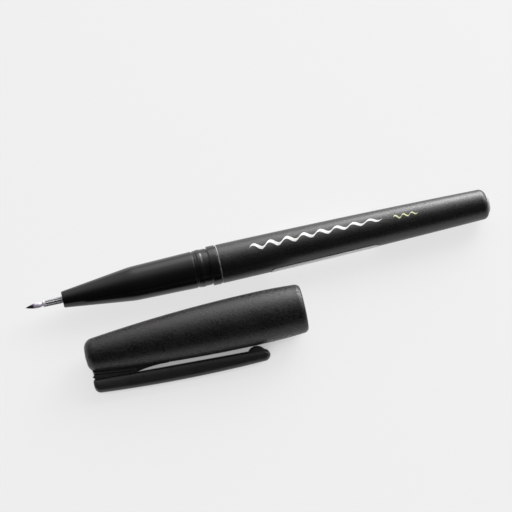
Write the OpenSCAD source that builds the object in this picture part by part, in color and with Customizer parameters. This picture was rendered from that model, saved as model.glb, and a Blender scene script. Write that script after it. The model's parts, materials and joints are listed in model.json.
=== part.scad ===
// Brush pen with its cap off: the pen lies along X, nib towards -X, and the cap lies beside it
// with its clip down on the table. Millimetres, +Z up, origin on the table under the middle.

/* [Pen body] */
// Length of the barrel, from the seam to its rear edge
barrel_len = 75; // [66:1.5:84]
// Diameter of the barrel at the seam
barrel_front_d = 10.54; // [10.4:0.02:10.6]
// Diameter of the barrel halfway along
barrel_mid_d = 9.86; // [9.7:0.02:10]
// Diameter of the barrel at its rear edge
barrel_rear_d = 8.2; // [8:0.05:8.5]
// Radius of the barrel's rounded rear edge
barrel_rear_round = 1.6; // [0.8:0.1:1.8]
// How far the tail plug stands out of the barrel
plug_proud = 0.65; // [0.4:0.05:1]

/* [Grip section] */
// Length of the grip section in front of the seam
grip_len = 42.6; // [41:0.1:45]
// Diameter of the grip at its front face
grip_front_d = 4.4; // [4.2:0.1:4.8]
// Diameter where the steep cone would meet the rear taper
grip_knee_d = 9.24; // [9:0.02:9.4]
// Distance from the front face to that meeting
grip_knee = 18.9; // [17:0.1:20]
// Diameter of the grip at the rear end of its taper
grip_rear_d = 10; // [9.9:0.02:10.1]
// Diameter of the collar that the barrel butts against
collar_d = 10.7; // [10.6:0.02:10.8]
// Length of the collar
collar_len = 2.3; // [2:0.1:2.6]

/* [Nib] */
// How far the brush and its holder stand out of the grip
nib_out = 10; // [9:0.1:10.5]
// Length of the bare brush tip
tip_len = 4.7; // [4.2:0.1:5]
// Largest diameter of the brush tip
tip_d = 1.45; // [1.25:0.05:1.5]

/* [Ink] */
// Diameter of the fibre ink reservoir
reservoir_d = 6.4; // [5.8:0.1:6.6]
// Length of the fibre ink reservoir
reservoir_len = 78; // [68:1:80]
// Thickness of the film round the reservoir
wrap_t = 0.2; // [0.15:0.05:0.25]

/* [Label] */
// Thickness of the paper label under the barrel
label_t = 0.1; // [0.08:0.01:0.14]
// Angle that the label covers round the barrel
label_wrap = 165; // [90:5:200]
// Angle from straight down to the label's near edge
label_edge = 97; // [60:1:110]

/* [Cap] */
// Length of the cap
cap_len = 59; // [58.5:0.1:61]
// Diameter of the cap at its belly
cap_belly_d = 13.92; // [13.7:0.02:14.2]
// Distance from the mouth to the belly
cap_belly = 12.5; // [11:0.5:14]
// Radius of the long curve from the belly to the closed end
cap_curve_r = 395; // [380:5:420]
// Radius of the curve from the belly to the mouth
mouth_curve_r = 155; // [120:5:180]
// Radius of the rounded mouth rim
mouth_round = 1; // [0.5:0.05:1]
// Radius of the rounded closed end
dome_round = 2.7; // [2:0.1:2.8]

/* [Clip] */
// Width of the clip across the cap
clip_w = 3.5; // [3:0.1:4]
// Distance from the mouth to the clip's free end
clip_free = 11.3; // [10:0.1:13]
// Distance from the mouth to the pivot that stands for the clip's bend
clip_bend = 45; // [43:0.5:46]

/* [Placing] */
// Distance between the pen's axis and the cap's axis, across the table
cap_offset = 18.5; // [17:0.1:24]
// How far the cap's mouth lies behind the seam
cap_behind_seam = 19; // [15:0.1:40]
// Slope of the cap as it lies, closed end low, in degrees
cap_slope = 1.9; // [0:0.1:2.5]
// Turn of the cap on the table away from the pen's direction, in degrees
cap_turn = -1; // [-2:0.1:2]
// Angle of the clip below the horizontal as it touches the table, in degrees
clip_drop = 23.8; // [20:0.1:26]
// Height of the cap's axis above the table at its mouth
cap_mouth_h = 7.59; // [7.5:0.01:8]

/* [Hidden] */
$fn = 96;

// Stations along the pen are measured from the point of the brush.
seam = nib_out + grip_len;
barrel_end = seam + barrel_len;
pen_len = barrel_end + plug_proud;
seam_gap = 0.12;
pen_h = collar_d / 2;

// Barrel
barrel_bands = 50;
front_bevel = 0.25;
socket_r = 4.45;
socket_depth = 9;
bore_front_r = 4.1;
bore_rear_r = 3.45;
rear_wall = 8;
plug_r = 2.95;
rib_t = 0.6;
rib_count = 4;
barrel_sag = (barrel_front_d + barrel_rear_d) / 2 - barrel_mid_d;

// Grip
cone_slope = (grip_knee_d - grip_front_d) / 2 / grip_knee;
taper_end = grip_len - collar_len - 4.4;
taper_slope = (grip_rear_d - grip_knee_d) / 2 / (taper_end - grip_knee);
knee_blend = 3.4;
neck_r = grip_rear_d / 2;
bead_r = neck_r + 0.1;
groove_r = neck_r - 0.12;
reservoir_room_r = 3.55;
reservoir_at = nib_out + 24.5;
holder_seat_r = 1.85;
holder_seat_at = nib_out + 2.8;
holder_seat_end = nib_out + 13.8;
grip_hole_r = 1;

// Nib
mouth_r = 0.52;
hinge_at = tip_len + 0.35;
ball_r = 0.48;
tip_neck_r = 0.38;
stem_r = 0.47;
holder_front_r = 0.86;
holder_rear_r = 0.95;
flute_count = 9;
flute_r = 0.16;
core_r = 0.8;
core_at = nib_out + 5;

// Cap, with distances measured from the mouth towards the closed end
cap_belly_r = cap_belly_d / 2;
clip_end = cap_len - 0.55;
clip_in_free = 8.3;
clip_in_root = 6.3;
clip_crest = 23;
clip_crest_r = 11.6;
clip_curve_r = 380;
knuckle_r = 2;
knuckle_gap = 0.06;
boss_at = clip_free + 3.5;
boss_r = 2.65;
boss_w = 2.9;
boss_gap = 0.12;
boss_depth = 0.5;
web_w = 2.4;
rib_w = 3.3;
web_end = clip_bend + 1.5;
gusset_len = 8.5;
gusset_gap = 0.35;
mouth_bore_r = 5.42;
snap_bore_r = 5.14;
liner_at = 35.4;
liner_end = cap_len - 3.4;
liner_front_r = 4.5;
liner_rear_r = 3.7;

function lerp(a, b, t) = a + (b - a) * t;
// A quarter turn of round edge about [r, x], from angle a to angle b
function round_edge(r, x, radius, a, b, n = 8) =
    [for (i = [0:n]) let (t = lerp(a, b, i / n)) [r + radius * cos(t), x + radius * sin(t)]];

// Outer radius of the barrel at a distance x behind the seam
function barrel_r(x) = let (t = x / barrel_len)
    lerp(barrel_front_d, barrel_rear_d, t) / 2 - 2 * barrel_sag * t * (1 - t);
// Inner radius of the barrel at a distance x behind the seam
function bore_r(x) = lerp(bore_front_r, bore_rear_r, x / barrel_len);
// Outer radius of the cap at a distance a from its mouth
function cap_r(a) = let (d = a - cap_belly)
    cap_belly_r - d * d / 2 / (d < 0 ? mouth_curve_r : cap_curve_r);
// Inner and outer edges of the clip, as distances from the cap's axis
function clip_in(a) = lerp(clip_in_free, clip_in_root, (a - clip_free) / (clip_end - clip_free));
function clip_out(a) = clip_crest_r - pow(a - clip_crest, 2) / 2 / clip_curve_r;

// The pen's place across the table, which centres the whole on Y = 0
clip_reach = clip_crest_r * cos(clip_drop) + clip_w / 2 * sin(clip_drop) + clip_crest * sin(cap_turn);
pen_y = (cap_offset + clip_reach - pen_h) / 2;

// Revolves a [radius, station] outline about the pen's axis
module turned(outline, angle = 360) {
    rotate_extrude(angle = angle) polygon(outline);
}

// Carries shapes from the pen's own frame (axis on Z, brush point at 0) to the table
module on_pen() {
    translate([-pen_len / 2, pen_y, pen_h]) rotate([0, 90, 0]) children();
}

// Carries shapes from the cap's own frame (mouth at 0, closed end at -X, clip at -Z) to the table
module on_cap() {
    translate([seam + cap_behind_seam - pen_len / 2, pen_y - cap_offset, cap_mouth_h])
        rotate([0, 0, cap_turn])
            rotate([0, -cap_slope, 0])
                rotate([-(90 - clip_drop), 0, 0])
                    children();
}

// Turns a [radius, distance from the mouth] outline round the cap's axis
module cap_turned(outline) {
    rotate([0, -90, 0]) rotate_extrude() polygon(outline);
}

// Extrudes a [distance from the mouth, distance from the axis] outline across the clip
module cap_plate(width) {
    rotate([90, 0, 0]) linear_extrude(width, center = true) rotate(180) children();
}

module barrel() {
    last = barrel_len - barrel_rear_round;
    skin = [for (i = [0:barrel_bands]) let (x = i * barrel_len / barrel_bands)
        if (x > front_bevel && x < last) [barrel_r(x), seam + x]];
    color("#1c1c1e")
        on_pen() difference() {
            union() {
                difference() {
                    turned(concat(
                        [[0, seam], [barrel_r(0) - front_bevel, seam], [barrel_r(0), seam + front_bevel]],
                        skin,
                        round_edge(barrel_r(last) - barrel_rear_round, seam + last, barrel_rear_round, 0, 90),
                        [[0, barrel_end]]));
                    turned([
                        [0, seam + socket_depth],
                        [bore_r(socket_depth), seam + socket_depth],
                        [bore_r(barrel_len - rear_wall), barrel_end - rear_wall],
                        [0, barrel_end - rear_wall]]);
                }
                for (i = [0:rib_count - 1]) rotate(45 + i * 360 / rib_count) reservoir_rib();
            }
            translate([0, 0, seam - 1]) cylinder(r = socket_r, h = socket_depth + 1);
            translate([0, 0, barrel_end - rear_wall - 1]) cylinder(r = plug_r, h = rear_wall + 2);
        }
}

// One of the ribs inside the barrel that hold the reservoir on the axis
module reservoir_rib() {
    inner = reservoir_d / 2 + wrap_t;
    start = seam + socket_depth + 12;
    length = barrel_end - rear_wall - 6 - start;
    translate([inner, -rib_t / 2, start])
        cube([bore_front_r - inner + 0.2, rib_t, length]);
}

module tail_plug() {
    edge = 1.3;
    spacer_r = 2.3;
    reservoir_end = reservoir_at + reservoir_len;
    color("#9c9ea2")
        on_pen() {
            difference() {
                turned(concat(
                    [[0, reservoir_end], [spacer_r, reservoir_end], [spacer_r, barrel_end - rear_wall],
                     [plug_r, barrel_end - rear_wall]],
                    round_edge(plug_r - edge, pen_len - edge, edge, 0, 90),
                    [[0, pen_len]]));
                translate([0, 0, reservoir_end - 1]) cylinder(r = 1.5, h = 12);
            }
        }
}

module barrel_label() {
    first = 9;
    last = 29;
    step = barrel_len / barrel_bands;
    inner = [for (i = [first:last]) [barrel_r(i * step), seam + i * step]];
    outer = [for (i = [last:-1:first]) [barrel_r(i * step) + label_t, seam + i * step]];
    color("white")
        on_pen() rotate(-label_edge) turned(concat(inner, outer), label_wrap);
}

module grip_section() {
    front_round = 0.35;
    knee = nib_out + grip_knee;
    knee_r = grip_knee_d / 2;
    blend_from = [knee_r - cone_slope * knee_blend, knee - knee_blend];
    blend_to = [knee_r + taper_slope * knee_blend, knee + knee_blend];
    blend = [for (i = [0:8]) let (t = i / 8)
        lerp(lerp(blend_from, [knee_r, knee], t), lerp([knee_r, knee], blend_to, t), t)];
    neck = nib_out + taper_end;
    collar = seam - collar_len;
    color("#131315")
        on_pen() difference() {
            turned(concat(
                [[0, nib_out]],
                round_edge(grip_front_d / 2 - front_round, nib_out + front_round, front_round, -90, -7, 5),
                blend,
                [[neck_r, neck], [groove_r, neck + 0.15], [groove_r, neck + 0.45], [neck_r, neck + 0.6]],
                [[neck_r, neck + 1]],
                [for (i = [1:5]) [lerp(neck_r, bead_r, sin(i * 30)), neck + 1 + i * 0.25]],
                [[neck_r, neck + 2.5], [neck_r, collar - 0.5], [groove_r, collar - 0.35],
                 [groove_r, collar], [collar_d / 2 - 0.15, collar], [collar_d / 2, collar + 0.15],
                 [collar_d / 2, seam - seam_gap],
                 [socket_r, seam - seam_gap], [socket_r, seam + socket_depth - 0.8],
                 [socket_r - 0.3, seam + socket_depth - 0.3], [0, seam + socket_depth - 0.3]]));
            translate([0, 0, reservoir_at]) cylinder(r = reservoir_room_r, h = 60);
            translate([0, 0, holder_seat_end])
                cylinder(r1 = holder_seat_r, r2 = reservoir_room_r, h = reservoir_at - holder_seat_end);
            translate([0, 0, holder_seat_at])
                cylinder(r = holder_seat_r, h = holder_seat_end - holder_seat_at + 0.01);
            translate([0, 0, nib_out - 1]) cylinder(r = grip_hole_r, h = 5);
        }
}

module nib_holder() {
    nose = nib_out - tip_len;
    lean = atan((holder_rear_r - holder_front_r) / nose);
    color("#a9abb0")
        on_pen() difference() {
            turned([
                [0, tip_len], [holder_front_r - 0.1, tip_len], [holder_front_r, tip_len + 0.1],
                [holder_rear_r, nib_out], [holder_rear_r, holder_seat_at + 0.05],
                [holder_seat_r - 0.02, holder_seat_at + 0.05], [holder_seat_r - 0.02, holder_seat_end],
                [0, holder_seat_end]]);
            for (i = [0:flute_count - 1])
                rotate(i * 360 / flute_count)
                    translate([holder_front_r + flute_r / 4, 0, tip_len + 0.4])
                        rotate([0, lean, 0])
                            cylinder(r = flute_r, h = nose - 0.8);
            translate([0, 0, tip_len - 0.01]) cylinder(r1 = mouth_r + 0.08, r2 = mouth_r, h = 0.4);
            translate([0, 0, tip_len]) cylinder(r = mouth_r, h = core_at - tip_len);
            translate([0, 0, core_at - 0.1]) cylinder(r = core_r + 0.02, h = 20);
        }
}

module nib_stem() {
    color("#d9d6e2")
        on_pen() translate([0, 0, hinge_at + ball_r + 0.1])
            cylinder(r = stem_r, h = core_at - hinge_at - ball_r - 0.1);
}

module brush_tip() {
    belly = tip_len * 0.72;
    neck_bends = asin(tip_neck_r / ball_r);
    color("#55505f")
        on_pen() turned(concat(
            [[0, 0]],
            [for (i = [0:12]) let (t = i / 12)
                [0.05 + (tip_d / 2 - 0.05) * sin(90 * pow(t, 0.9)), 0.02 + belly * t]],
            [[tip_d / 2, belly + 0.3], [tip_neck_r + 0.1, tip_len - 0.3], [tip_neck_r, tip_len - 0.02]],
            round_edge(0, hinge_at, ball_r, neck_bends - 90, 90, 12)));
}

module feed_core() {
    color("#4a4652")
        on_pen() translate([0, 0, core_at]) cylinder(r = core_r, h = reservoir_at + 5 - core_at);
}

module ink_reservoir() {
    color("#34323a")
        on_pen() difference() {
            translate([0, 0, reservoir_at]) cylinder(d = reservoir_d, h = reservoir_len);
            translate([0, 0, reservoir_at - 1]) cylinder(r = core_r + 0.01, h = 6);
        }
}

module reservoir_wrap() {
    color("#c9cdd2")
        on_pen() translate([0, 0, reservoir_at]) difference() {
            cylinder(d = reservoir_d + 2 * wrap_t, h = reservoir_len);
            translate([0, 0, -1]) cylinder(d = reservoir_d, h = reservoir_len + 2);
        }
}

// Side outline of the clip's bar between two distances from the mouth
module bar_outline(from, to) {
    n = 12;
    polygon(concat(
        [for (i = [0:n]) let (a = lerp(from, to, i / n)) [a, clip_out(a)]],
        [[to, clip_in(to)], [from, clip_in(from)]]));
}

module cap_body() {
    dome = cap_len - dome_round;
    rear = dome - cap_belly;
    front = cap_belly - mouth_round;
    cap_turned(concat(
        [[0, 0]],
        round_edge(cap_r(mouth_round) - mouth_round, mouth_round, mouth_round, -90, -8, 6),
        [for (i = [1:6]) let (a = mouth_round + front * i / 6) [cap_r(a), a]],
        [for (i = [1:18]) let (a = cap_belly + rear * i / 18) [cap_r(a), a]],
        round_edge(cap_r(dome) - dome_round, dome, dome_round, 10, 84),
        [[0, cap_len + 0.2]]));
}

// Hollow curve from the web down to the cap's skin, in the gap under the clip
module gusset() {
    n = 8;
    rise = clip_in(web_end) - gusset_gap - cap_r(web_end);
    polygon(concat(
        [[web_end - gusset_len, cap_r(web_end) - 1], [web_end + 1, cap_r(web_end) - 1]],
        [[web_end + 1, cap_r(web_end) + rise]],
        [for (i = [0:n]) let (t = i / n, a = web_end - gusset_len * t) [a, cap_r(a) + rise * pow(1 - t, 2)]]));
}

// One of the two ledges beside the bar. Its outer edge lies below_rear under the bar's inner side at the
// closed end and below_front under it at the web's end; thick is its thickness at the closed end.
module root_ledge(below_rear, below_front, rear, thick) {
    polygon([
        [web_end, clip_in(web_end) - below_front - thick * 0.3], [web_end, clip_in(web_end) - below_front],
        [rear, clip_in(rear) - below_rear], [rear, clip_in(rear) - below_rear - thick]]);
}

// The block at the closed end that the clip grows from: a bar with two ledges beside a narrow web
module clip_root() {
    knuckle = (clip_in(clip_bend) + clip_out(clip_bend)) / 2;
    corner = 1.5;
    difference() {
        union() {
            cap_plate(clip_w) {
                bar_outline(clip_bend + 1.2, clip_end - corner);
                translate([clip_end - corner, clip_in(clip_end)])
                    square([corner - 0.4, clip_out(clip_end) - clip_in(clip_end) - corner]);
                translate([clip_end - corner, clip_out(clip_end - corner) - corner]) circle(corner);
                translate([clip_end - 0.8, clip_in(clip_end) + 0.8]) circle(0.8);
            }
            cap_plate(web_w) polygon([
                [web_end, 4], [web_end, clip_in(web_end) + 0.5],
                [clip_end - 0.9, clip_in(clip_end) + 0.5], [clip_end - 0.9, 3.2]]);
            cap_plate(web_w) gusset();
            cap_plate(rib_w) {
                root_ledge(1.35, 0.5, clip_end - 0.4, 4);
                root_ledge(0.12, 0.12, clip_end - 0.15, 1.08);
            }
        }
        cap_plate(clip_w + 2) translate([clip_bend, knuckle]) circle(knuckle_r + knuckle_gap);
    }
}

module cap_shell() {
    snap = seam - (nib_out + taper_end + 1.75);
    color("#232326")
        on_cap() difference() {
            union() {
                cap_body();
                clip_root();
            }
            cap_turned([
                [0, -1], [mouth_bore_r, -1], [mouth_bore_r, collar_len + 0.3],
                [snap_bore_r, collar_len + 0.5], [snap_bore_r, snap - 1.6],
                [snap_bore_r - 0.1, snap - 1.3], [snap_bore_r - 0.1, snap - 1],
                [snap_bore_r + 0.06, snap - 0.7], [snap_bore_r + 0.06, snap + 0.7],
                [snap_bore_r, snap + 1], [snap_bore_r, snap + 3.5],
                [liner_front_r + 0.1, liner_at - 1], [liner_front_r, liner_at - 0.2],
                [liner_rear_r, liner_end], [0, liner_end]]);
        }
}

module inner_cap() {
    base = 1.2;
    seal_r = 3.05;
    deep_r = 2.5;
    skin = 0.01;
    color("#e4e4e0")
        on_cap() cap_turned([
            [seal_r + 0.5, liner_at], [liner_front_r - skin - 0.2, liner_at],
            [liner_front_r - skin, liner_at + 0.2], [liner_rear_r - skin, liner_end - skin],
            [0, liner_end - skin], [0, liner_end - base], [deep_r, liner_end - base],
            [seal_r, liner_at + 3], [seal_r, liner_at + 1.2]]);
}

module cap_clip() {
    knuckle = (clip_in(clip_bend) + clip_out(clip_bend)) / 2;
    tip_r = (clip_out(clip_free + 1.6) - clip_in(clip_free + 1.6)) / 2;
    boss_top = cap_r(boss_at) + boss_gap;
    color("#161618")
        on_cap() {
            cap_plate(clip_w) {
                bar_outline(clip_free + tip_r, clip_bend);
                translate([clip_bend, knuckle]) circle(knuckle_r);
                translate([clip_free + tip_r, (clip_out(clip_free + tip_r) + clip_in(clip_free + tip_r)) / 2])
                    circle(tip_r);
            }
            cap_plate(boss_w) intersection() {
                translate([boss_at, boss_top + boss_r]) circle(boss_r);
                translate([clip_free, 0]) square([3 * boss_r, clip_out(boss_at) - boss_depth]);
            }
        }
}

barrel();
tail_plug();
barrel_label();
grip_section();
nib_holder();
nib_stem();
brush_tip();
feed_core();
ink_reservoir();
reservoir_wrap();
cap_shell();
inner_cap();
cap_clip();
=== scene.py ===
"""Looks of the brush pen and its cap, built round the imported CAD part."""

import json
import math

import bmesh
import bpy
from mathutils import Matrix, Vector


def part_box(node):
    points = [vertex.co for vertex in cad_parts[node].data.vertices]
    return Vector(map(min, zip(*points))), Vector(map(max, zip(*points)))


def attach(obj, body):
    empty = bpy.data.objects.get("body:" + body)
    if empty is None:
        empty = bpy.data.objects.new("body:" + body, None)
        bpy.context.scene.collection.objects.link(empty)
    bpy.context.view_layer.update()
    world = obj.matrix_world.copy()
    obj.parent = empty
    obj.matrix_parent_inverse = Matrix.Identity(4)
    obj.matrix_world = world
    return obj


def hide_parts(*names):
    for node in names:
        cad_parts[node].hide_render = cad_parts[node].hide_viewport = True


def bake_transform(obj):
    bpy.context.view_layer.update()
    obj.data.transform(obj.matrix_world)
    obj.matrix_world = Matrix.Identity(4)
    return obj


MM = 0.001
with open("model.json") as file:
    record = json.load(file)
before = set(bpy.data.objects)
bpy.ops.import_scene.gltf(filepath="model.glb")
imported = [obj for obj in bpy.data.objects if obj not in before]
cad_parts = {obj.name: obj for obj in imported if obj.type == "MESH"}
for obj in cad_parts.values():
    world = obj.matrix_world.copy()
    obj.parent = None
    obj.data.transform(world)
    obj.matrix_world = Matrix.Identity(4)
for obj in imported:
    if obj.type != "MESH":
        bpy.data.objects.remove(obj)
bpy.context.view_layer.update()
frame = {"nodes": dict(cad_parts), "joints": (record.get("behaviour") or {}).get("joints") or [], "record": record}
RECORD = frame["record"]


def lerp(a, b, t):
    return a + (b - a) * t


def evenly(start, end, parts):
    """Numbers from start to end in equal steps."""
    return [lerp(start, end, k / parts) for k in range(parts + 1)]


# ---------------------------------------------------------------------------
# Where the pen and the cap are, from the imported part
# ---------------------------------------------------------------------------

def mount(name):
    return next(m for m in RECORD["mounts"] if m["name"] == name)


def joint(name):
    return next(j for j in frame["joints"] if j["name"] == name)


TIP_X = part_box("brush_tip")[0].x
SEAM = (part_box("barrel")[0].x - TIP_X) / MM
NIB_OUT = (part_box("grip_section")[0].x - TIP_X) / MM
PEN_LEN = (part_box("tail_plug")[1].x - TIP_X) / MM
GRIP_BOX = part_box("grip_section")
PEN_Y = (GRIP_BOX[0].y + GRIP_BOX[1].y) / 2
PEN_Z = (GRIP_BOX[0].z + GRIP_BOX[1].z) / 2
# The pen's own frame: X from the brush point to the tail, in mm
PEN = Matrix.Translation((TIP_X, PEN_Y, PEN_Z)) @ Matrix.Scale(MM, 4)

# The cap's own frame: mouth at 0, closed end towards -X, clip towards -Z, in mm. Along it, a is the
# distance from the mouth. The clip's inner edge is straight, and its outer edge is a shallow arc.
CLIP_BEND = 45
CLIP_IN_FREE, CLIP_IN_ROOT = 8.3, 6.3
CLIP_FREE, CLIP_END = 11.3, 58.45
CLIP_CREST, CLIP_CREST_R, CLIP_CURVE_R = 23, 11.6, 380


def clip_in(a):
    """How far from the cap's axis the clip's inner edge is."""
    return lerp(CLIP_IN_FREE, CLIP_IN_ROOT, (a - CLIP_FREE) / (CLIP_END - CLIP_FREE))


def clip_out(a):
    """How far from the cap's axis the clip's outer edge is."""
    return CLIP_CREST_R - (a - CLIP_CREST) ** 2 / 2 / CLIP_CURVE_R


KNUCKLE = (clip_in(CLIP_BEND) + clip_out(CLIP_BEND)) / 2
cap_x = Vector(mount("pocket_clip")["axis"]).normalized()
cap_y = Vector(joint("clip_flex")["axis"]).normalized()
cap_z = cap_x.cross(cap_y)
if cap_z.z < 0:
    cap_y, cap_z = -cap_y, -cap_z
cap_y = cap_z.cross(cap_x)
CAP_TURN = Matrix((cap_x, cap_y, cap_z)).transposed().to_4x4()
cap_mouth = Vector(joint("clip_flex")["pos_m"]) + (CLIP_BEND * cap_x + KNUCKLE * cap_z) * MM
CAP = Matrix.Translation(cap_mouth) @ CAP_TURN @ Matrix.Scale(MM, 4)


# ---------------------------------------------------------------------------
# Mesh helpers, all in mm in a local frame
# ---------------------------------------------------------------------------

def rounded(corners, steps=6, closed=False):
    """Turns corners (x, r, fillet) into outline points, each corner rounded by its fillet.

    A fillet takes up just under half of a side at most.
    """
    most = 0.49
    points = []
    n = len(corners)
    for i, (x, r, fillet) in enumerate(corners):
        p = Vector((x, r))
        if fillet <= 0 or (not closed and i in (0, n - 1)):
            points.append(p)
            continue
        before = Vector(corners[i - 1][:2]) - p
        after = Vector(corners[(i + 1) % n][:2]) - p
        half = before.angle(after) / 2
        reach = min(fillet / max(math.tan(half), 1e-3), before.length * most, after.length * most)
        a = p + before.normalized() * reach
        b = p + after.normalized() * reach
        points += [a.lerp(p, t).lerp(p.lerp(b, t), t) for t in evenly(0, 1, steps)]
    return points


def spread(points, longest, closed=False):
    """Splits the outline's long stretches, so that shading stays even."""
    out = []
    ends = list(points[1:]) + ([points[0]] if closed else [])
    for p, q in zip(points, ends):
        n = max(1, math.ceil((q - p).length / longest))
        out += [p.lerp(q, k / n) for k in range(n)]
    if not closed:
        out.append(points[-1])
    return out


def eased(a, start, end, radius_start, radius_end):
    """How far an outline is drawn in at a, so that its two ends are rounded."""
    for distance, radius in ((a - start, radius_start), (end - a, radius_end)):
        if distance < radius:
            return radius - math.sqrt(max(radius ** 2 - (radius - distance) ** 2, 0))
    return 0.0


def stations(start, end, first, last, inner, outer=9):
    """Distances from start to end, close together where the ends are rounded by first and last."""
    bunched = [1 - math.cos(math.pi / 2 * k / outer) for k in range(outer)]
    out = [start + first * b for b in bunched]
    out += evenly(start + first, end - last, inner)
    out += [end - last * b for b in reversed(bunched)]
    return out


def make(name, bm, place, sharp=38):
    """A smooth-shaded object from a bmesh in mm, moved to its place in the shared frame.

    Edges that turn by more than sharp degrees stay crisp.
    """
    bmesh.ops.recalc_face_normals(bm, faces=bm.faces)
    mesh = bpy.data.meshes.new(name)
    bm.to_mesh(mesh)
    bm.free()
    mesh.transform(place)
    for polygon in mesh.polygons:
        polygon.use_smooth = True
    mesh.set_sharp_from_angle(angle=math.radians(sharp))
    obj = bpy.data.objects.new(name, mesh)
    bpy.context.scene.collection.objects.link(obj)
    return obj


def bridge(bm, rings, loop=False):
    """Joins rings of vertices with faces. A ring of one vertex is a pole."""
    pairs = list(zip(rings, rings[1:]))
    if loop:
        pairs.append((rings[-1], rings[0]))
    for a, b in pairs:
        n = max(len(a), len(b))
        for k in range(n):
            m = (k + 1) % n
            if len(a) == 1 and len(b) == 1:
                continue
            if len(a) == 1:
                bm.faces.new((a[0], b[m], b[k]))
            elif len(b) == 1:
                bm.faces.new((a[k], a[m], b[0]))
            else:
                bm.faces.new((a[k], a[m], b[m], b[k]))


def lathe(name, points, place, turns=192, closed=False, sharp=38):
    """Turns an outline of (x, r) round the X axis. A point on the axis becomes a pole."""
    on_axis = 1e-5
    bm = bmesh.new()
    rings = []
    for x, r in points:
        if r < on_axis:
            rings.append([bm.verts.new((x, 0, 0))])
            continue
        angles = [2 * math.pi * k / turns for k in range(turns)]
        rings.append([bm.verts.new((x, r * math.cos(t), r * math.sin(t))) for t in angles])
    bridge(bm, rings, loop=closed)
    return make(name, bm, place, sharp)


def section(half_width, low, high, r_low, r_high, crown=0.0):
    """Points round a rounded rectangle in (y, z), from z = -low to z = -high.

    crown draws its two sides in towards their edges, by that share of the half width.
    """
    steps, side_parts, least_r = 6, 6, 0.001
    height = high - low
    widest_r = min(height * 0.48, half_width * 0.98)
    r_low = max(min(r_low, widest_r), least_r)
    r_high = max(min(r_high, widest_r), least_r)
    # Each corner: its place, the way to its centre, its radius and the angle where its arc starts
    corners = ((half_width, low, -1, 1, r_low, -90), (half_width, high, -1, -1, r_high, 0),
               (-half_width, high, 1, -1, r_high, 90), (-half_width, low, 1, 1, r_low, 180))
    points = []
    for y, z, to_y, to_z, r, start in corners:
        for t in evenly(math.radians(start), math.radians(start + 90), steps):
            points.append((y + to_y * r + r * math.cos(t), -(z + to_z * r + r * math.sin(t))))
    if crown:
        middle = -(low + high) / 2
        finer = []
        for k, (y, z) in enumerate(points):
            next_y, next_z = points[(k + 1) % len(points)]
            parts = side_parts if (k + 1) % (steps + 1) == 0 else 1
            finer += [(lerp(y, next_y, j / parts), lerp(z, next_z, j / parts)) for j in range(parts)]
        points = [(y * (1 - crown * (2 * (z - middle) / height) ** 2), z) for y, z in finer]
    return points


def loft(name, sections, place, sharp=38):
    """Joins cross-sections [(x, [(y, z), ...]), ...] and closes both ends."""
    bm = bmesh.new()
    rings = [[bm.verts.new((x, y, z)) for y, z in outline] for x, outline in sections]
    bridge(bm, rings)
    bm.faces.new(rings[0])
    bm.faces.new(rings[-1])
    return make(name, bm, place, sharp)


def dress(obj, material, body):
    """Gives a piece its look and the body it rides on."""
    obj.data.materials.append(material)
    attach(obj, body)


# ---------------------------------------------------------------------------
# Materials
# ---------------------------------------------------------------------------

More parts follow.
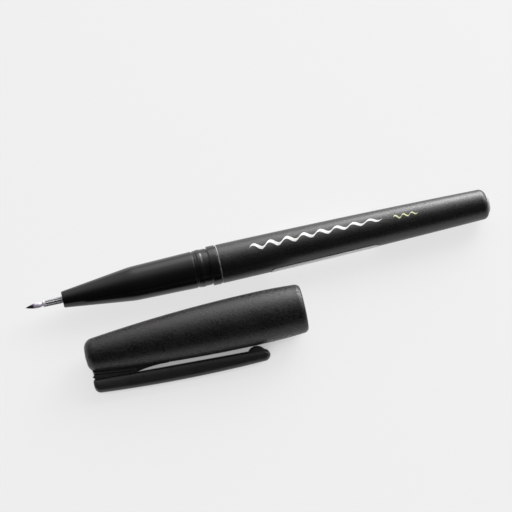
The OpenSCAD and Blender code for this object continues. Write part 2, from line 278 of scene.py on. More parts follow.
class Nodes:
    """A short way to write a material's node tree. Noise and cell scales are per metre."""

    def __init__(self, name):
        self.material = bpy.data.materials.new(name)
        self.material.use_nodes = True
        self.tree = self.material.node_tree
        self.shader = self.tree.nodes["Principled BSDF"]
        self.object = self.add("ShaderNodeTexCoord").outputs["Object"]

    def add(self, kind, **settings):
        node = self.tree.nodes.new(kind)
        for key, value in settings.items():
            setattr(node, key, value)
        return node

    def put(self, socket, value):
        if isinstance(value, bpy.types.NodeSocket):
            self.tree.links.new(value, socket)
        else:
            socket.default_value = value

    def stretched(self, scale):
        """Object coordinates scaled by axis, for noise that is longer along the part."""
        node = self.add("ShaderNodeMapping")
        self.put(node.inputs["Vector"], self.object)
        node.inputs["Scale"].default_value = scale
        return node.outputs["Vector"]

    def noise(self, scale, detail=2.0, rough=0.5, vector=None):
        node = self.add("ShaderNodeTexNoise")
        self.put(node.inputs["Vector"], vector or self.object)
        node.inputs["Scale"].default_value = scale
        node.inputs["Detail"].default_value = detail
        node.inputs["Roughness"].default_value = rough
        return node.outputs["Fac"]

    def cells(self, scale):
        node = self.add("ShaderNodeTexVoronoi")
        self.put(node.inputs["Vector"], self.object)
        node.inputs["Scale"].default_value = scale
        return node.outputs["Distance"]

    def ramp(self, value, low, high, to_low=0.0, to_high=1.0, smooth=True):
        """Maps low..high to to_low..to_high and holds the ends."""
        node = self.add("ShaderNodeMapRange", interpolation_type="SMOOTHSTEP" if smooth else "LINEAR")
        self.put(node.inputs["Value"], value)
        for key, number in (("From Min", low), ("From Max", high), ("To Min", to_low), ("To Max", to_high)):
            node.inputs[key].default_value = number
        return node.outputs["Result"]

    def math(self, operation, a, b=0.0):
        node = self.add("ShaderNodeMath", operation=operation)
        self.put(node.inputs[0], a)
        self.put(node.inputs[1], b)
        return node.outputs[0]

    def mix(self, factor, a, b):
        node = self.add("ShaderNodeMix", data_type="RGBA")
        self.put(node.inputs["Factor"], factor)
        for socket, colour in ((node.inputs[6], a), (node.inputs[7], b)):
            self.put(socket, colour if isinstance(colour, bpy.types.NodeSocket) else (*colour, 1.0))
        return node.outputs[2]

    def bump(self, height, strength, distance, normal=None):
        """Relief that is distance metres high, on top of another bump's normal if there is one."""
        node = self.add("ShaderNodeBump")
        self.put(node.inputs["Height"], height)
        node.inputs["Strength"].default_value = strength
        node.inputs["Distance"].default_value = distance
        if normal is not None:
            self.put(node.inputs["Normal"], normal)
        return node.outputs["Normal"]

    def axis(self, name):
        node = self.add("ShaderNodeSeparateXYZ")
        self.put(node.inputs[0], self.object)
        return node.outputs[name]

    def finish(self, colour, roughness, normal, **sockets):
        self.put(self.shader.inputs["Base Color"], colour)
        self.put(self.shader.inputs["Roughness"], roughness)
        self.put(self.shader.inputs["Normal"], normal)
        for key, value in sockets.items():
            self.shader.inputs[key.replace("_", " ")].default_value = value
        return self.material


def shade(colour, factor):
    return tuple(c * factor for c in colour)


def moulded(name, colour, rough, grain, grain_depth, mottle=0.08, dusty=False, edge=None, **sockets):
    """Moulded plastic: a grain that changes its gloss by mottle, handling marks and, if dusty, specks.

    edge is (from, to), the stretch along X in metres whose cut edge gets a pale painted highlight.
    """
    handled, dust_colour, painted_highlight_colour = 0.03, (0.6, 0.6, 0.58), (0.62, 0.62, 0.6)
    n = Nodes(name)
    broad = n.noise(170.0, 3.0, 0.6)
    rubbed = n.noise(1.0, 4.0, 0.6, vector=n.stretched((260.0, 1500.0, 1500.0)))
    fine = n.noise(grain, 2.0, 0.6)
    coarse = n.noise(grain * 0.5, 3.0, 0.6)
    r, g, b = colour
    base = n.mix(n.ramp(broad, 0.3, 0.7), (0.75 * r, 0.8 * g, 0.85 * b), (1.35 * r, 1.2 * g, 1.2 * b))
    base = n.mix(n.ramp(coarse, 0.42, 0.72, 0.0, 0.6), base, (2.4 * r, 2.2 * g, 2.2 * b))
    if dusty:
        dust = n.ramp(n.cells(620.0), 0.0, 0.085, 1.0, 0.0)
        chosen = n.ramp(n.noise(410.0, 1.0), 0.6, 0.66)
        base = n.mix(n.math("MULTIPLY", n.math("MULTIPLY", dust, chosen), 0.75), base, dust_colour)
    # Painted highlight: a pale grey ring on the cut edge, broken up by noise, stands for the light the bevel
    # catches
    if edge:
        inside = n.math("MULTIPLY", n.ramp(n.axis("X"), edge[0], edge[0] + 0.06 * MM),
                        n.ramp(n.axis("X"), edge[1] - 0.1 * MM, edge[1], 1.0, 0.0))
        highlight_breakup = n.ramp(n.noise(900.0, 3.0, 0.6), 0.3, 0.5, 0.35, 1.0)
        base = n.mix(n.math("MULTIPLY", inside, highlight_breakup), base, painted_highlight_colour)
    roughness = n.math("ADD", n.ramp(broad, 0.25, 0.75, rough - handled, rough + handled),
                       n.ramp(rubbed, 0.45, 0.75, -handled, handled))
    roughness = n.math("ADD", roughness, n.ramp(coarse, 0.35, 0.65, -mottle, mottle))
    normal = n.bump(coarse, 1.0, grain_depth * 2.4, n.bump(fine, 0.8, grain_depth))
    return n.finish(base, roughness, normal, **sockets)


def glossy(name, colour, rough, **sockets):
    """Polished plastic: almost smooth, with faint moulding waves and hairline marks."""
    wave_height, hair_depth = 4.0e-6, 5.0e-7
    n = Nodes(name)
    waves = n.noise(240.0, 2.0, 0.5)
    hairs = n.noise(1.0, 3.0, 0.7, vector=n.stretched((300.0, 4000.0, 4000.0)))
    smudge = n.noise(320.0, 4.0, 0.65)
    base = n.mix(n.ramp(smudge, 0.35, 0.7), shade(colour, 0.94), shade(colour, 1.12))
    roughness = n.math("ADD", n.ramp(smudge, 0.3, 0.75, rough * 0.9, rough * 1.15),
                       n.ramp(hairs, 0.6, 0.8, 0.0, rough * 0.3))
    normal = n.bump(waves, 0.4, wave_height, n.bump(hairs, 0.2, hair_depth))
    return n.finish(base, roughness, normal, **sockets)


# The barrel's front bevel gets a painted highlight through edge: a pale ring in its colour
BARREL_BLACK = moulded("barrel_black", (0.0066, 0.006, 0.006), rough=0.37, grain=6500.0,
                       grain_depth=1.2e-5, IOR=1.58,
                       edge=(TIP_X + (SEAM - 0.02) * MM, TIP_X + (SEAM + 0.38) * MM))
CAP_BLACK = moulded("cap_black", (0.0088, 0.0082, 0.0083), rough=0.43, grain=4200.0,
                    grain_depth=2.4e-5, mottle=0.15, dusty=True, IOR=1.5)
GRIP_BLACK = glossy("grip_black", (0.006, 0.0058, 0.006), rough=0.16)
CLIP_BLACK = glossy("clip_black", (0.03, 0.03, 0.032), rough=0.3)
PLUG_GREY = glossy("plug_grey", (0.33, 0.34, 0.355), rough=0.34)
HOLDER_CLEAR = glossy("holder_smoke", (0.76, 0.76, 0.8), rough=0.12, Transmission_Weight=0.25)
FLUTE_INK = glossy("flute_ink", (0.008, 0.008, 0.01), rough=0.2)
LINER_WHITE = moulded("liner_white", (0.72, 0.72, 0.69), rough=0.45, grain=6000.0, grain_depth=3.0e-6)


def brush_material():
    """The brush: lavender-white moulded resin, dark where the ink has wetted its point."""
    clean_dark, clean_light = (0.6, 0.57, 0.68), (0.8, 0.78, 0.86)
    stained, wet = (0.34, 0.31, 0.43), (0.014, 0.013, 0.02)
    n = Nodes("brush_resin")
    streaks = n.noise(1.0, 3.0, 0.6, vector=n.stretched((700.0, 6500.0, 6500.0)))
    wobble = n.math("MULTIPLY", n.math("SUBTRACT", streaks, 0.5), 1.5 * MM)
    along = n.math("ADD", n.math("SUBTRACT", n.axis("X"), TIP_X), wobble)
    inked = n.ramp(along, 1.75 * MM, 2.7 * MM, 1.0, 0.0)
    tint = n.ramp(along, 2.2 * MM, 4.6 * MM, 0.55, 0.0)
    pale = n.mix(n.ramp(streaks, 0.35, 0.7), clean_dark, clean_light)
    pale = n.mix(tint, pale, stained)
    base = n.mix(inked, pale, wet)
    roughness = n.ramp(inked, 0.0, 1.0, 0.42, 0.2)
    normal = n.bump(streaks, 0.5, 1.2e-5)
    return n.finish(base, roughness, normal, Subsurface_Weight=0.15, Subsurface_Scale=0.0004)


def paper_material():
    """White label paper with a fine fibre grain."""
    n = Nodes("label_paper")
    fibres = n.noise(5200.0, 4.0, 0.65)
    base = n.mix(n.ramp(fibres, 0.35, 0.7), (0.84, 0.84, 0.84), (0.92, 0.92, 0.91))
    return n.finish(base, n.ramp(fibres, 0.3, 0.7, 0.38, 0.52), n.bump(fibres, 0.4, 6.0e-6))


def ink_material(name, colour):
    """Printed ink with slightly uneven cover."""
    n = Nodes(name)
    cover = n.noise(2600.0, 3.0, 0.6)
    base = n.mix(n.ramp(cover, 0.3, 0.55), shade(colour, 0.72), colour)
    return n.finish(base, n.ramp(cover, 0.3, 0.7, 0.35, 0.5), n.bump(cover, 0.3, 3.0e-6))


def fibre_material(name, colour):
    """A bundle of fibres that runs along the pen."""
    n = Nodes(name)
    strands = n.noise(1.0, 4.0, 0.7, vector=n.stretched((300.0, 5200.0, 5200.0)))
    base = n.mix(n.ramp(strands, 0.35, 0.65), shade(colour, 0.6), shade(colour, 1.5))
    return n.finish(base, n.ramp(strands, 0.3, 0.7, 0.6, 0.85), n.bump(strands, 0.7, 4.0e-5),
                    Sheen_Weight=0.2)


def film_material():
    """The reservoir's clear film, slightly creased."""
    n = Nodes("clear_film")
    creases = n.noise(1.0, 3.0, 0.6, vector=n.stretched((900.0, 250.0, 250.0)))
    base = n.mix(n.ramp(creases, 0.3, 0.7), (0.75, 0.78, 0.8), (0.86, 0.88, 0.9))
    return n.finish(base, n.ramp(creases, 0.3, 0.7, 0.06, 0.18), n.bump(creases, 0.5, 2.0e-5),
                    Transmission_Weight=0.8)


BRUSH_RESIN = brush_material()
LABEL_PAPER = paper_material()
WHITE_INK = ink_material("white_ink", (0.86, 0.86, 0.84))
YELLOW_INK = ink_material("yellow_ink", (0.72, 0.73, 0.42))
INK_FIBRE = fibre_material("ink_fibre", (0.05, 0.045, 0.06))
CLEAR_FILM = film_material()

# CAD nodes that keep their meshes
for node, material in (("inner_cap", LINER_WHITE), ("nib_stem", BRUSH_RESIN), ("feed_core", INK_FIBRE),
                       ("ink_reservoir", INK_FIBRE), ("reservoir_wrap", CLEAR_FILM)):
    frame["nodes"][node].data.materials.clear()
    frame["nodes"][node].data.materials.append(material)


# ---------------------------------------------------------------------------
# The pen
# ---------------------------------------------------------------------------

# Diameters of the barrel at its front, middle and rear, how deep the plug's body sits in it, how far the
# brush stands out of its holder, and the holder's radii and flutes
BARREL_LEN = 75
BARREL_END = SEAM + BARREL_LEN
BARREL_FRONT, BARREL_MID, BARREL_REAR = 10.54, 9.86, 8.2
PLUG_IN = 8
BRUSH_OUT = 4.7
HOLDER_FRONT_R, HOLDER_REAR_R = 0.86, 0.95
FLUTES, FLUTE_START, FLUTE_END = 9, BRUSH_OUT + 0.35, NIB_OUT - 0.15


def barrel_r(x):
    """The barrel's radius x mm behind the seam: a taper that swells a little in the middle."""
    t = x / BARREL_LEN
    swell = BARREL_MID - (BARREL_FRONT + BARREL_REAR) / 2
    return lerp(BARREL_FRONT, BARREL_REAR, t) / 2 + 2 * swell * t * (1 - t)


def holder_r(x):
    """The holder's radius over its flutes, x mm behind the brush point."""
    return lerp(HOLDER_FRONT_R, HOLDER_REAR_R, (x - BRUSH_OUT) / (NIB_OUT - BRUSH_OUT))


def build_barrel():
    bevel, rear_round, slope_step = 0.25, 1.6, 0.5
    socket_in, socket_r, front_bore_r, rear_bore_r, plug_r = 9, 4.46, 4.1, 3.45, 2.96
    first, last = 1, BARREL_LEN - rear_round
    front = rounded([(SEAM + socket_in, front_bore_r, 0), (SEAM + socket_in, socket_r, 0.2),
                     (SEAM, socket_r, 0.1), (SEAM, barrel_r(0) - bevel, 0.08),
                     (SEAM + bevel, barrel_r(bevel), 0.15), (SEAM + first, barrel_r(first), 0)])
    skin = [Vector((SEAM + x, barrel_r(x))) for x in evenly(first, last, 90)[1:]]
    # The rear edge turns from the skin's own slope to almost straight back
    lean = math.atan((barrel_r(last) - barrel_r(last + slope_step)) / slope_step)
    centre = Vector((SEAM + last, barrel_r(last) - rear_round))
    turn = evenly(math.pi / 2 - lean, math.asin(0.02), 12)
    rim = [centre + rear_round * Vector((math.cos(t), math.sin(t))) for t in turn]
    rim = [p for p in rim if p.y > plug_r + 0.05]
    back = [Vector((rim[-1].x + 0.01, plug_r)), Vector((BARREL_END - PLUG_IN, plug_r)),
            Vector((BARREL_END - PLUG_IN, rear_bore_r))]
    outline = spread(front + skin + rim + back, 1.2, closed=True)
    barrel = lathe("barrel_body", outline, PEN, closed=True)
    dress(barrel, BARREL_BLACK, "pen")
    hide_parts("barrel")


def build_grip():
    """The grip from its front end: cone, knee, groove, snap bead, groove, collar, spigot and bore."""
    front_r, knee_r, neck_r, collar_r, spigot_r = 2.2, 4.62, 5.0, 5.35, 4.44
    mouth_r, holder_bore_r, rear_bore_r = 1.0, 1.87, 3.56
    groove_r, bead_r = neck_r - 0.13, neck_r + 0.1
    knee, collar = NIB_OUT + 18.9, SEAM - 2.3
    neck, collar_end, spigot_end = collar - 4.4, SEAM - 0.12, SEAM + 8.5
    cone = [(NIB_OUT + 4, mouth_r, 0), (NIB_OUT, mouth_r, 0.15), (NIB_OUT, front_r, 0.38),
            (knee, knee_r, 26)]
    groove = [(neck, neck_r, 0.05), (neck + 0.14, groove_r, 0.06), (neck + 0.5, groove_r, 0.06),
              (neck + 0.62, neck_r, 0.1)]
    bead = [(neck + 1.0, neck_r, 0.3), (neck + 1.45, bead_r, 0.5), (neck + 2.15, bead_r, 0.5),
            (neck + 2.6, neck_r, 0.3)]
    rear_groove = [(collar - 0.5, neck_r, 0.08), (collar - 0.36, groove_r, 0.05), (collar, groove_r, 0.05)]
    ring = [(collar, collar_r, 0.16), (collar_end, collar_r, 0.1)]
    spigot = [(collar_end, spigot_r, 0), (spigot_end, spigot_r, 0.2), (spigot_end, rear_bore_r, 0)]
    bore = [(SEAM - 18, rear_bore_r, 0), (NIB_OUT + 13.8, holder_bore_r, 0),
            (NIB_OUT + 4, holder_bore_r, 0)]
    outline = rounded(cone + groove + bead + rear_groove + ring + spigot + bore, steps=9, closed=True)
    grip = lathe("grip", spread(outline, 0.9, closed=True), PEN, turns=224, closed=True, sharp=42)
    dress(grip, GRIP_BLACK, "pen")
    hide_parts("grip_section")


def build_holder():
    """The clear nib holder: a tube with rounded flutes along its nose, and a thicker shank in the grip."""
    facets, deep, run_out, ridge = 16, 0.13, 0.35, 1.25
    shank_r, feed_r, stem_r, chamfer = 1.83, 0.83, 0.53, 0.08
    turns = FLUTES * facets

    def depth(x):
        return deep * max(0.0, min(1.0, (x - FLUTE_START) / run_out, (FLUTE_END - x) / run_out))

    def fluted(x, k):
        wave = 0.5 - 0.5 * math.cos(2 * math.pi * k / facets)
        return holder_r(x) - depth(x) * (1 - min(1.0, wave * ridge))

    def ring(x, radii):
        angles = [2 * math.pi * k / turns for k in range(turns)]
        return [bm.verts.new((x, r * math.cos(t), r * math.sin(t))) for r, t in zip(radii, angles)]

    shank = [(NIB_OUT + 2.85, HOLDER_REAR_R), (NIB_OUT + 2.86, shank_r - chamfer),
             (NIB_OUT + 2.94, shank_r), (NIB_OUT + 13.6, shank_r), (NIB_OUT + 13.7, shank_r - chamfer)]
    bore = [(NIB_OUT + 13.7, feed_r), (NIB_OUT + 5, feed_r), (NIB_OUT + 5, stem_r),
            (BRUSH_OUT + 0.4, stem_r), (BRUSH_OUT, 0.6), (BRUSH_OUT, HOLDER_FRONT_R - 0.1)]
    bm = bmesh.new()
    rings = [ring(x, [fluted(x, k) for k in range(turns)]) for x in evenly(BRUSH_OUT + 0.1, NIB_OUT, 40)]
    rings += [ring(x, [r] * turns) for x, r in shank + bore]
    bridge(bm, rings, loop=True)
    holder = make("holder", bm, PEN, sharp=45)
    dress(holder, HOLDER_CLEAR, "pen")
    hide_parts("nib_holder")


def build_flute_ink():
    """Ink that stands in the holder's flutes: one slim piece in each, thinner towards its ends."""
    wide, sunk, half_thick, sides = 0.36, 0.075, 0.03, 10
    for i in range(FLUTES):
        rows = []
        bm = bmesh.new()
        for x in evenly(FLUTE_START + 0.12, FLUTE_END, 24):
            from_middle = abs(2 * (x - FLUTE_START) / (FLUTE_END - FLUTE_START) - 1)
            slim = math.sqrt(max(0.02, 1 - from_middle ** 6))
            outline = []
            for k in range(sides):
                t = 2 * math.pi * k / sides
                r = holder_r(x) - sunk + half_thick * math.sin(t) * slim
                turn = 2 * math.pi * i / FLUTES + math.cos(t) * wide / 2 * slim / r
                outline.append(bm.verts.new((x, r * math.cos(turn), r * math.sin(turn))))
            rows.append(outline)
        bridge(bm, rows)
        bm.faces.new(rows[0])
        bm.faces.new(rows[-1])
        ink = make(f"flute_ink_{i}", bm, PEN, sharp=60)
        dress(ink, FLUTE_INK, "pen")


def build_brush():
    """The brush point: it swells from its end to its belly, then narrows into the holder's mouth."""
    end_r, belly_r, belly, waist_r, neck_r = 0.04, 0.725, 3.4, 0.5, 0.4
    neck_end = BRUSH_OUT + 1.1
    point = [Vector((0.0, 0.0))]
    for t in evenly(0, 1, 24)[1:]:
        swell = math.sin(math.pi / 2 * t ** 1.12)
        point.append(Vector((belly * t ** 1.25, lerp(end_r, belly_r, swell))))
    rear = rounded([(belly, belly_r, 0), (BRUSH_OUT - 0.9, belly_r, 0.6), (BRUSH_OUT - 0.15, waist_r, 0.5),
                    (BRUSH_OUT + 0.3, neck_r, 0.2), (neck_end, neck_r, 0.1), (neck_end, 0, 0)])
    brush = lathe("brush", spread(point + rear[1:], 0.12), PEN, turns=64, sharp=60)
    brush.data.materials.append(BRUSH_RESIN)
    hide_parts("brush_tip")
    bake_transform(brush)


def build_plug():
    """The tail plug: a shank, a body that fills the barrel's rear end, and a rounded edge."""
    edge, plug_r, shank_in, shank_r = 1.3, 2.94, 12, 2.3
    outline = rounded([(BARREL_END - shank_in, 0, 0), (BARREL_END - shank_in, shank_r, 0.1),
                       (BARREL_END - PLUG_IN, shank_r, 0), (BARREL_END - PLUG_IN, plug_r, 0.1)], steps=8)
    centre = Vector((PEN_LEN - edge, plug_r - edge))
    outline += [centre + edge * Vector((math.sin(t), math.cos(t))) for t in evenly(0, math.pi / 2, 20)]
    outline.append(Vector((PEN_LEN, 0)))
    plug = lathe("tail_plug_face", spread(outline, 0.6), PEN, turns=128, sharp=50)
    dress(plug, PLUG_GREY, "pen")
    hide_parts("tail_plug")


def on_barrel(x, angle, lift):
    """A point on the barrel: x mm behind the seam, angle in degrees up from the cap's side."""
    r = barrel_r(x) + lift
    t = math.radians(angle)
    return (SEAM + x, -r * math.cos(t), r * math.sin(t))


def wrapped_sheet(name, columns, parts, lift, thick):
    """A thin closed sheet on the barrel, lift mm above it and thick mm thick.

    Each column is (x, low angle, high angle), and all are cut into the same number of parts.
    """
    bm = bmesh.new()
    bottom, top = [[[bm.verts.new(on_barrel(x, angle, height)) for angle in evenly(low, high, parts)]
                    for x, low, high in columns] for height in (lift, lift + thick)]
    for i in range(len(columns) - 1):
        for j in range(parts):
            bm.faces.new((top[i][j], top[i + 1][j], top[i + 1][j + 1], top[i][j + 1]))
            bm.faces.new((bottom[i][j], bottom[i][j + 1], bottom[i + 1][j + 1], bottom[i + 1][j]))
        for j in (0, parts):
            bm.faces.new((top[i][j], bottom[i][j], bottom[i + 1][j], top[i + 1][j]))
    for i in (0, len(columns) - 1):
        for j in range(parts):
            bm.faces.new((top[i][j], top[i][j + 1], bottom[i][j + 1], bottom[i][j]))
    return make(name, bm, PEN, sharp=50)


def build_label():
    """The paper label with rounded corners, from just above the cap's side round the underside."""
    first, last, top, low, corner = 13.5, 43.5, 7.0, -158.0, 1.6
    columns = []
    for x in stations(first, last, corner, corner, 30, 10):
        degrees = math.degrees(eased(x, first, last, corner, corner) / barrel_r(x))
        columns.append((x, low + degrees, top - degrees))
    label = wrapped_sheet("label", columns, parts=60, lift=0.005, thick=0.15)
    dress(label, LABEL_PAPER, "pen")
    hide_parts("barrel_label")


def brush_line(name, first, last, middle, sway, waves, swell, material):
    """A printed line that swells and thins like one drawn with a brush, from x = first to x = last.

    middle, sway and swell are angles round the barrel in degrees.
    """
    columns = []
    for t in evenly(0, 1, 40 * waves):
        turn = 2 * math.pi * waves * t
        fade = math.sqrt(max(0.0005, 1 - (2 * t - 1) ** 10)) * (1 - 0.3 * t)
        half = swell * fade * (0.3 + 0.7 * (0.5 - 0.5 * math.cos(turn)))
        centre = middle + sway * (1 - 0.4 * t) * math.sin(turn)
        columns.append((lerp(first, last, t), centre - half, centre + half))
    piece = wrapped_sheet(name, columns, parts=6, lift=0.004, thick=0.014)
    dress(piece, material, "pen")


def build_print():
    """Generic decoration where the pen is printed: a brush line in white and a finer one in pale yellow."""
    brush_line("mark_line", first=8.8, last=45.5, middle=95.5, sway=8.2, waves=8, swell=7.6,
               material=WHITE_INK)
    brush_line("mark_fine", first=48.5, last=55.4, middle=90.5, sway=6.0, waves=3, swell=4.0,
               material=YELLOW_INK)


build_barrel()
build_grip()
build_holder()
build_flute_ink()
build_brush()
build_plug()
build_label()
build_print()


# ---------------------------------------------------------------------------
# The cap
# ---------------------------------------------------------------------------

# The cap is thickest at its belly. From there its outline falls away as one arc to the mouth and as a
# flatter one to the closed end.
CAP_LEN, BELLY, BELLY_R = 59, 12.5, 6.96
CAP_CURVE_R, MOUTH_CURVE_R = 395, 155
# Where the clip's root begins, which the web and the ledges fill up behind the bar
ROOT_AT = CLIP_BEND + 1.5


def cap_r(a):
    """The cap's outer radius."""
    d = a - BELLY
    return BELLY_R - d * d / 2 / (MOUTH_CURVE_R if d < 0 else CAP_CURVE_R)


def build_cap_body():
    mouth_round, dome_round, dome_rise = 1.0, 2.7, 0.18
    mouth_r, bore_r, groove_r, liner_at, liner_end = 5.42, 5.14, 5.2, 35.4, 55.6
    rim_len = 1.6 * mouth_round
    dome = CAP_LEN - dome_round
    lip = [Vector((rim_len * (1 - math.cos(t)), cap_r(rim_len) - mouth_round * (1 - math.sin(t))))
           for t in evenly(0, math.pi / 2, 16)]
    skin = [Vector((a, cap_r(a))) for a in evenly(rim_len, dome, 70)[1:-1]]
    # The closed end: a rounded edge that starts at the skin's own slope, then a shallow cone
    lean = math.atan((dome - BELLY) / CAP_CURVE_R)
    end = [Vector((dome + dome_round * math.sin(t), cap_r(dome) - dome_round * (1 - math.cos(t))))
           for t in evenly(lean, math.pi / 2 - 0.1, 18)]
    closed_end = [end[-1].lerp(Vector((CAP_LEN + dome_rise, 0)), t) for t in evenly(0, 1, 6)[1:]]
    # The bore: mouth, snap groove, taper and the seat of the liner
    bore = rounded([(0, 5.6, 0), (0, mouth_r, 0.15), (2.6, mouth_r, 0), (2.8, bore_r, 0.1),
                    (14.6, bore_r, 0), (15.2, groove_r, 0.2), (17, bore_r, 0.3), (liner_at - 1, 4.6, 0.2),
                    (liner_at, 4.5, 0), (liner_end, 3.7, 0), (liner_end, 0, 0)])
    outline = list(reversed(bore)) + lip + skin + end + closed_end
    points = [(-p.x, p.y) for p in spread(outline, 1.0)]
    body = lathe("cap_body", points, CAP, turns=224, sharp=42)
    dress(body, CAP_BLACK, "cap")
    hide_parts("cap_shell")


def build_clip():
    """The clip's bar, from its free end to its root."""
    half, end_r, inner_end_r, hair = 1.75, 1.5, 0.7, 0.01
    side_free_r, side_root_r, side_share = 1.3, 1.0, 0.85
    edge_in, edge_out, crown = 0.4, 1.2, 0.34
    tip_r = (clip_out(CLIP_FREE + 1.6) - clip_in(CLIP_FREE + 1.6)) / 2
    sections = []
    for a in stations(CLIP_FREE, CLIP_END, tip_r, end_r, 60):
        # Shaped as if a hair inside the ends, so that the end faces keep some height
        b = min(max(a, CLIP_FREE + hair), CLIP_END - hair)
        low = clip_in(b) + eased(b, CLIP_FREE, CLIP_END, tip_r, inner_end_r)
        high = clip_out(b) - eased(b, CLIP_FREE, CLIP_END, tip_r, end_r)
        narrow = eased(b, CLIP_FREE, CLIP_END, side_free_r, side_root_r) * side_share
        sections.append((-a, section(half - narrow, low, high, edge_in, edge_out, crown)))
    bar = loft("clip_bar", sections, CAP, sharp=50)
    bar.data.materials.append(CLIP_BLACK)
    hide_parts("cap_clip")

    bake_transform(bar)


def build_boss():
    """The round boss under the clip's free end, cut flat inside the bar."""
    boss_at, boss_r, boss_half, depth, gap = CLIP_FREE + 3.5, 2.65, 1.45, 0.5, 0.12
    middle = cap_r(boss_at) + gap + boss_r
    flat = clip_out(boss_at) - depth - middle
    reach = math.pi / 2 - math.asin(flat / boss_r)
    arc = evenly(reach, 2 * math.pi - reach, 60)
    sections = []
    # Where across the boss each outline is, as a share of its half width, and how far it is drawn in
    for across, drawn_in in ((-1, 0.35), (-0.93, 0.14), (-0.76, 0.0), (0.76, 0.0), (0.93, 0.14), (1, 0.35)):
        r = boss_r - drawn_in
        outline = [(-r * math.sin(t), -middle - min(r * math.cos(t), flat)) for t in arc]
        sections.append((across * boss_half, outline))
    place = CAP @ Matrix.Translation((-boss_at, 0, 0)) @ Matrix.Rotation(math.pi / 2, 4, "Z")
    boss = loft("clip_boss", sections, place, sharp=40)
    dress(boss, CLIP_BLACK, "clip")


def build_web():
    """The web between the clip's bar and the cap's closed end, with the hollow curve in front of it."""
    half, gusset_len, slit, into_bar, into_cap = 1.2, 8.5, 0.12, 0.5, 1
    low_front, low_rear, least_rise, edge, lip_edge = 4.4, 3.2, 0.02, 0.05, 0.12
    web_end = CLIP_END - 0.5
    rise = clip_in(ROOT_AT) - slit - cap_r(ROOT_AT)
    sections = []
    for t in evenly(0, 1, 12):
        a = ROOT_AT - gusset_len * (1 - t)
        high = cap_r(a) + least_rise + rise * t ** 2
        sections.append((-a, section(half, cap_r(a) - into_cap, high, edge, lip_edge)))
    # Behind the curve the web reaches into the bar, and its sides are drawn in at the rear end only
    for a in stations(ROOT_AT + 0.2, web_end, 0.5, 1.0, 30):
        low = lerp(low_front, low_rear, (a - ROOT_AT) / (web_end - ROOT_AT))
        inset = 0.4 * eased(a, ROOT_AT - gusset_len, web_end, 0.0, 1.0)
        sections.append((-a, section(half - inset, low, clip_in(a) + into_bar, edge, edge)))
    web = loft("clip_web", sections, CAP, sharp=50)
    dress(web, CLIP_BLACK, "cap")


def build_ledge(name, below_front, below_rear, rear, thick, half, bend):
    """A ledge beside the bar, from the root's front to rear, with edges rounded by bend.

    Its outer edge lies below the bar's inner one by below_front at its front and below_rear at its rear.
    """
    front_r, rear_r, thin_front = 0.6, 0.9, 0.3
    sections = []
    for a in stations(ROOT_AT, rear, front_r, rear_r, 30):
        t = (a - ROOT_AT) / (rear - ROOT_AT)
        high = clip_in(a) - lerp(below_front, below_rear, t)
        low = high - thick * lerp(thin_front, 1.0, t)
        inset = eased(a, ROOT_AT, rear, front_r, rear_r)
        drawn_in = min(inset, (high - low) * 0.45)
        outline = section(half - inset * 0.7, low + drawn_in, high - drawn_in, bend * 0.7, bend)
        sections.append((-a, outline))
    ledge = loft(name, sections, CAP, sharp=50)
    dress(ledge, CLIP_BLACK, "cap")


build_cap_body()
build_clip()
build_boss()
build_web()
build_ledge("clip_ledge", below_front=0.5, below_rear=1.35, rear=CLIP_END - 0.35, thick=4.0, half=1.68,
            bend=0.6)
build_ledge("clip_rib", below_front=0.1, below_rear=0.1, rear=CLIP_END - 0.1, thick=1.12, half=1.6,
            bend=0.42)


# ---------------------------------------------------------------------------
# Floor, light and camera
# ---------------------------------------------------------------------------

def build_floor():
    """A pale floor. Its own light stands in for light from all round, so it fades in the cap's shade."""
    half_size, colour = 6.0, (0.14, 0.14, 0.14, 1)
    open_light, shaded_light = 0.718, 0.25
    shade_reach, least_open = 8 * MM, 0.55
    fade_from, fade_to = 1 * MM, 7 * MM
    bm = bmesh.new()
    corners = ((-1, -1), (1, -1), (1, 1), (-1, 1))
    bm.faces.new([bm.verts.new((x * half_size, y * half_size, 0)) for x, y in corners])
    floor = make("floor", bm, Matrix.Identity(4))
    n = Nodes("floor_paper")
    n.put(n.shader.inputs["Base Color"], colour)
    n.put(n.shader.inputs["Roughness"], 0.9)
    n.put(n.shader.inputs["Specular IOR Level"], 0.1)
    n.put(n.shader.inputs["Emission Color"], (1, 1, 1, 1))
    open_sky = n.add("ShaderNodeAmbientOcclusion", samples=8)
    open_sky.inputs["Distance"].default_value = shade_reach
    near_cap = n.ramp(n.axis("Y"), fade_from, fade_to, 1.0, 0.0)
    shaded = n.math("MULTIPLY", n.ramp(open_sky.outputs["AO"], 0.0, least_open, 1.0, 0.0), near_cap)
    strength = n.ramp(shaded, 0.0, 1.0, open_light, shaded_light, smooth=False)
    n.put(n.shader.inputs["Emission Strength"], strength)
    floor.data.materials.append(n.material)
    return floor


# Radiance of the studio by the angle over the pen, from the camera's side (0) over the top to the back (1),
# the radiance of full white in the ramp, and how fast it all grows to the right
SKY = [(0.0, 0.03), (0.37, 0.05), (0.467, 0.115), (0.556, 0.385), (0.65, 0.8), (0.756, 1.11), (0.867, 1.05),
       (1.0, 0.65)]
SKY_TOP = 1.2
SKY_TILT = 1.0
# The glow at the right: where it is, how bright, and the cosines between which it fades in
GLOW = Vector((0.6, 0.7, 0.35)).normalized()
GLOW_LIGHT = 2.6
GLOW_EDGE, GLOW_CORE = math.cos(math.radians(46)), math.cos(math.radians(20))
# What the camera sees past the floor's edge
PALE = 0.888


def soft_lamp(name, place, size, energy):
    """A round soft light that points at the middle of the part."""
    light = bpy.data.lights.new(name, "AREA")
    light.shape = "DISK"
    light.size = size
    light.energy = energy
    obj = bpy.data.objects.new(name, light)
    bpy.context.scene.collection.objects.link(obj)
    obj.location = place
    obj.rotation_euler = obj.location.to_track_quat("Z", "Y").to_euler()
    return obj


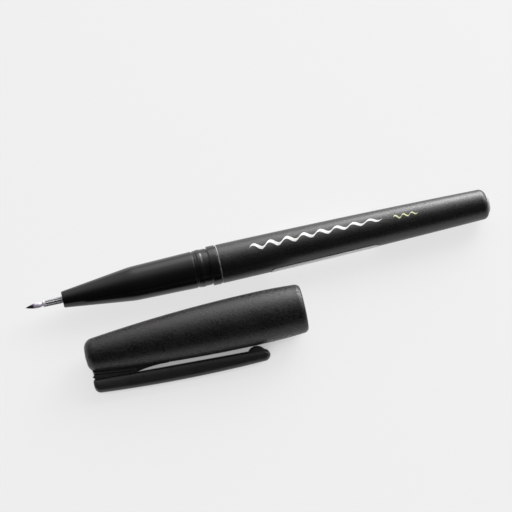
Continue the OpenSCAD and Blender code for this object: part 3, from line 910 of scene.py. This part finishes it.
def build_lamps(floor):
    """A lamp at the right and behind for the floor's gentle shadows, and a near one for the tail's sheen.

    The first lights nothing but the floor, and the second everything but the floor.
    """
    key = soft_lamp("key", (0.4, 0.3, 0.3), size=0.3, energy=1.8)
    near = soft_lamp("near", (0.16, 0.24, 0.08), size=0.2, energy=0.8)
    for lamp, state in ((key, "INCLUDE"), (near, "EXCLUDE")):
        group = bpy.data.collections.new(f"floor_of_{lamp.name}")
        group.objects.link(floor)
        lamp.light_linking.receiver_collection = group
        group.collection_objects[0].light_linking.link_state = state


def build_light():
    """A studio with a wide soft light behind the pen that grows stronger to the right."""
    world = bpy.data.worlds.new("studio")
    bpy.context.scene.world = world
    world.use_nodes = True
    tree = world.node_tree
    background = tree.nodes["Background"]

    def add(kind, inputs=(), **settings):
        node = tree.nodes.new(kind)
        for key, value in settings.items():
            setattr(node, key, value)
        for index, value in inputs:
            if isinstance(value, bpy.types.NodeSocket):
                tree.links.new(value, node.inputs[index])
            else:
                node.inputs[index].default_value = value
        return node.outputs

    def maths(operation, a, b=0.0):
        return add("ShaderNodeMath", ((0, a), (1, b)), operation=operation)[0]

    way = add("ShaderNodeTexCoord")["Generated"]
    x, y, z = add("ShaderNodeSeparateXYZ", ((0, way),))
    turn = maths("DIVIDE", maths("ARCTAN2", z, maths("MULTIPLY", y, -1.0)), math.pi)
    ramp = tree.nodes.new("ShaderNodeValToRGB")
    ramp.color_ramp.interpolation = "B_SPLINE"
    tree.links.new(turn, ramp.inputs[0])
    stops = ramp.color_ramp.elements
    while len(stops) < len(SKY):
        stops.new(0.5)
    for stop, (place, value) in zip(stops, SKY):
        stop.position = place
        stop.color = (value / SKY_TOP,) * 3 + (1,)
    level = maths("MULTIPLY", ramp.outputs[0], SKY_TOP)
    lit = maths("MULTIPLY", level, maths("EXPONENT", maths("MULTIPLY", x, SKY_TILT)))
    near = add("ShaderNodeVectorMath", ((0, way), (1, GLOW)), operation="DOT_PRODUCT")["Value"]
    glow = add("ShaderNodeMapRange", ((0, near), (1, GLOW_EDGE), (2, GLOW_CORE), (3, 0.0), (4, GLOW_LIGHT)),
               interpolation_type="SMOOTHSTEP")[0]
    lit = maths("ADD", lit, glow)
    seen = add("ShaderNodeLightPath")["Is Camera Ray"]
    strength = add("ShaderNodeMix", ((0, seen), (2, lit), (3, PALE)), data_type="FLOAT")[0]
    tree.links.new(strength, background.inputs["Strength"])
    background.inputs["Color"].default_value = (1, 1, 1, 1)


def build_camera():
    """The photo's camera: above and in front of the pen, and a little to its side."""
    azimuth, elevation, distance = math.radians(13.874), math.radians(67), 543.82 * MM
    sensor, focal = 36, 140.625
    target = Vector((-0.47 * MM, PEN_Y + 2.12 * MM, 0))
    forward = Vector((math.sin(azimuth) * math.cos(elevation), math.cos(azimuth) * math.cos(elevation),
                      -math.sin(elevation)))
    right = Vector((math.cos(azimuth), -math.sin(azimuth), 0))
    up = right.cross(forward)
    data = bpy.data.cameras.new("camera")
    data.sensor_width = sensor
    data.lens = focal
    data.clip_start, data.clip_end = 0.01, 20
    camera = bpy.data.objects.new("camera", data)
    bpy.context.scene.collection.objects.link(camera)
    turn = Matrix((right, up, -forward)).transposed().to_4x4()
    camera.matrix_world = Matrix.Translation(target - forward * distance) @ turn
    bpy.context.scene.camera = camera


build_lamps(build_floor())
build_light()
build_camera()
bpy.context.scene.view_settings.view_transform = "Standard"
